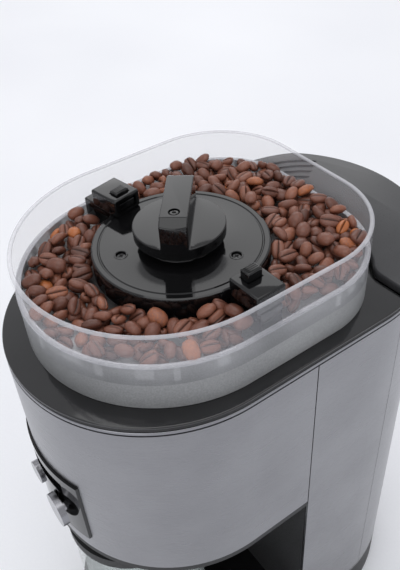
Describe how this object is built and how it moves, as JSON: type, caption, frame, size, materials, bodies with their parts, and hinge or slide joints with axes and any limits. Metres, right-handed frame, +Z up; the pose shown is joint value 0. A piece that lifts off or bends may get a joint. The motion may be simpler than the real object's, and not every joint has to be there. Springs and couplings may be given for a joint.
{
  "type": "burr coffee grinder",
  "caption": "Upright electric burr coffee grinder with a clear bean hopper, bar-handled grind knob, hinged rear lid and grounds jar bay.",
  "frame": {"origin": "middle of the footprint, on the surface it stands on", "axes": "+Z up, front with the jar bay towards -Y"},
  "size_m": [0.162, 0.2604, 0.361],
  "materials": {
    "gloss_black": "high gloss moulded",
    "black_plastic": "fine texture moulded",
    "plate_black": "polished cover plate",
    "lid_black": "satin gloss moulded",
    "stainless": "brushed sheet",
    "polished_steel": "polished strip",
    "steel_parts": "machined",
    "clear_plastic": "clear moulded",
    "jar_glass": "clear",
    "rubber": "moulded",
    "brass": "turned",
    "aluminium": "cast",
    "board_green": "circuit board",
    "smoked_window": "smoked clear"
  },
  "bodies": {
    "housing": {"base_pan": "black_plastic", "base_deck": "black_plastic", "rubber_feet": "rubber", "base_screws": "steel_parts", "side_panel_left": "stainless", "side_panel_right": "stainless", "rear_shell": "stainless", "head_shell": "stainless", "head_floor": "black_plastic", "bay_wall": "black_plastic", "trim_band": "polished_steel", "column_frame": "steel_parts", "motor_can": "steel_parts", "gearbox_case": "aluminium", "gearbox_cover": "aluminium", "gearbox_screws": "steel_parts", "idler_pin": "steel_parts", "bearing_lower": "brass", "bearing_upper": "brass", "grinding_chamber": "aluminium", "chute": "black_plastic", "shaft_seal": "rubber", "top_plate": "plate_black", "lid_hinge_pin": "steel_parts", "rear_compartment": "black_plastic", "control_panel": "gloss_black", "display_window": "smoked_window", "control_board": "board_green", "power_inlet": "black_plastic", "inlet_blades": "brass", "switch_bezel": "black_plastic"},
    "burr_shaft": {"drive_shaft": "steel_parts", "output_gear": "steel_parts", "sweeper": "black_plastic", "cone_burr": "steel_parts", "burr_nut": "steel_parts"},
    "idler": {"idler_gear": "steel_parts"},
    "motor_shaft": {"motor_rotor": "steel_parts", "motor_pinion": "brass"},
    "upper_burr": {"ring_burr": "steel_parts", "burr_carrier": "black_plastic"},
    "bean_hopper": {"hopper": "clear_plastic", "hopper_seal": "rubber", "burr_cover": "gloss_black", "cover_screws": "steel_parts", "latch_rails": "gloss_black"},
    "knob": {"adjusting_knob": "gloss_black", "knob_screw": "steel_parts", "adjusting_spindle": "steel_parts", "adjusting_collar": "black_plastic"},
    "right_latch": {"latch_right": "gloss_black"},
    "left_latch": {"latch_left": "gloss_black"},
    "right_key": {"latch_button_right": "gloss_black"},
    "left_key": {"latch_button_left": "gloss_black"},
    "lid": {"rear_lid": "lid_black"},
    "button": {"start_button": "stainless"},
    "dial": {"dose_dial": "stainless"},
    "jar": {"grounds_jar": "jar_glass"},
    "jar_cap": {"jar_lid": "black_plastic"},
    "rocker": {"power_switch": "gloss_black"}
  },
  "joints": [
    {"name": "burr_spin", "type": "hinge", "parent": "housing", "child": "burr_shaft", "pos_m": [0, -0.0253, 0.25], "axis": [0, 0, 1], "continuous": true},
    {"name": "idler_spin", "type": "hinge", "parent": "housing", "child": "idler", "pos_m": [0, 0.0167, 0.225], "axis": [0, 0, 1], "continuous": true},
    {"name": "motor_spin", "type": "hinge", "parent": "housing", "child": "motor_shaft", "pos_m": [0, 0.0447, 0.17], "axis": [0, 0, 1], "continuous": true},
    {"name": "hopper_lift", "type": "slide", "parent": "housing", "child": "bean_hopper", "axis": [0, 0, 1], "range_m": [0, 0.08]},
    {"name": "knob_turn", "type": "hinge", "parent": "bean_hopper", "child": "knob", "pos_m": [0, -0.0253, 0.34], "axis": [0, 0, 1], "range_deg": [-66, 66]},
    {"name": "upper_burr_travel", "type": "slide", "parent": "housing", "child": "upper_burr", "axis": [0, 0, 1], "range_m": [-0.0006, 0.0006]},
    {"name": "latch_right_slide", "type": "slide", "parent": "bean_hopper", "child": "right_latch", "axis": [0.9994, 0.0349, 0], "range_m": [-0.01, 0]},
    {"name": "latch_left_slide", "type": "slide", "parent": "bean_hopper", "child": "left_latch", "axis": [-0.9816, -0.1908, 0], "range_m": [0, 0.01]},
    {"name": "latch_right_press", "type": "slide", "parent": "right_latch", "child": "right_key", "axis": [0, 0, 1], "range_m": [-0.002, 0], "stiffness_N_per_m": 60, "springref_m": 0.0008},
    {"name": "latch_left_press", "type": "slide", "parent": "left_latch", "child": "left_key", "axis": [0, 0, 1], "range_m": [-0.0015, 0], "stiffness_N_per_m": 60, "springref_m": 0.0008},
    {"name": "rear_lid_hinge", "type": "hinge", "parent": "housing", "child": "lid", "pos_m": [0, 0.1276, 0.3005], "axis": [1, 0, 0], "range_deg": [-95, 0]},
    {"name": "start_button_press", "type": "slide", "parent": "housing", "child": "button", "axis": [0, 1, 0], "range_m": [0, 0.0012], "stiffness_N_per_m": 800, "springref_m": -0.001},
    {"name": "dose_dial_turn", "type": "hinge", "parent": "housing", "child": "dial", "pos_m": [0.014, -0.12, 0.206], "axis": [0, -1, 0], "range_deg": [-140, 140]},
    {"name": "power_switch_rock", "type": "hinge", "parent": "housing", "child": "rocker", "pos_m": [0.0125, 0.118, 0.068], "axis": [1, 0, 0], "range_deg": [-8, 0]},
    {"name": "grounds_jar_slide", "type": "slide", "parent": "housing", "child": "jar", "axis": [0, -1, 0], "range_m": [0, 0.15]},
    {"name": "jar_lid_lift", "type": "slide", "parent": "jar", "child": "jar_cap", "axis": [0, 0, 1], "range_m": [0, 0.012]}
  ],
  "couplings": [
    {"joint": "idler_spin", "follows": "burr_spin", "ratio": -3},
    {"joint": "motor_spin", "follows": "burr_spin", "ratio": 9},
    {"joint": "upper_burr_travel", "follows": "knob_turn", "m_per_rad": 0.00043406}
  ]
}
